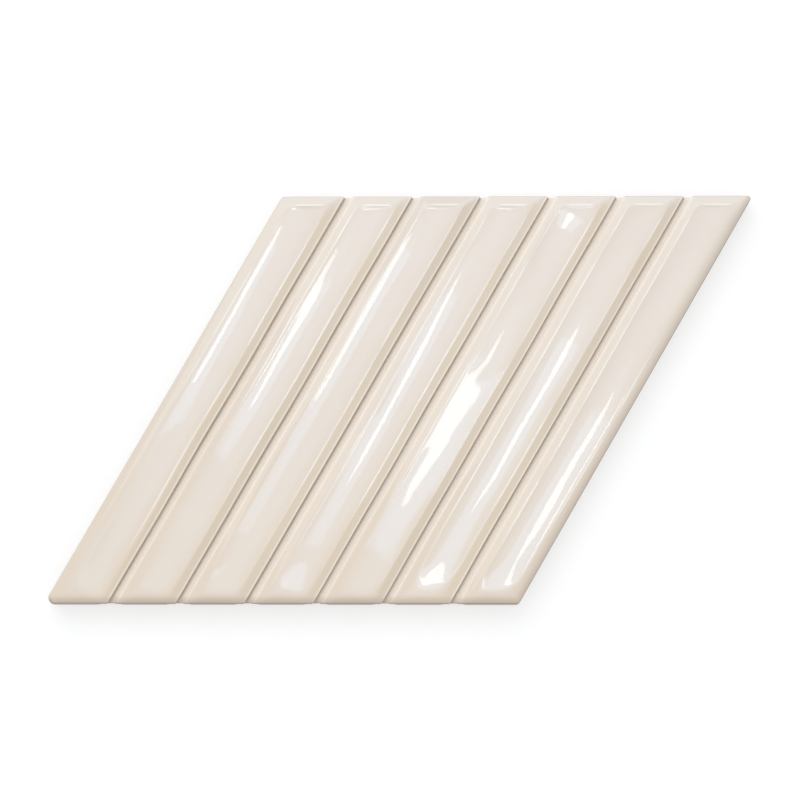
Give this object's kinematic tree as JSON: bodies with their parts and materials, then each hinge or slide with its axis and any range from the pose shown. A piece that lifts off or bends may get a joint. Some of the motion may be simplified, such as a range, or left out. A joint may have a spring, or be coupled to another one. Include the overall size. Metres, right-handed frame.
{
  "type": "ceramic wall tile",
  "caption": "Diamond-shaped glazed ceramic wall tile whose face is pressed into parallel bevelled bars with shallow dished tops, parted by narrow recessed joints.",
  "frame": {"origin": "centre of the back, where the diagonals of the diamond cross", "axes": "+X along the two level edges of the diamond, +Y square to them in the plane of the tile, +Z out of the glazed face"},
  "size_m": [0.2255, 0.1316, 0.009],
  "materials": {
    "glaze": "glossy ivory glaze"
  },
  "bodies": {
    "root": {"wall_tile": "glaze"}
  },
  "joints": []
}
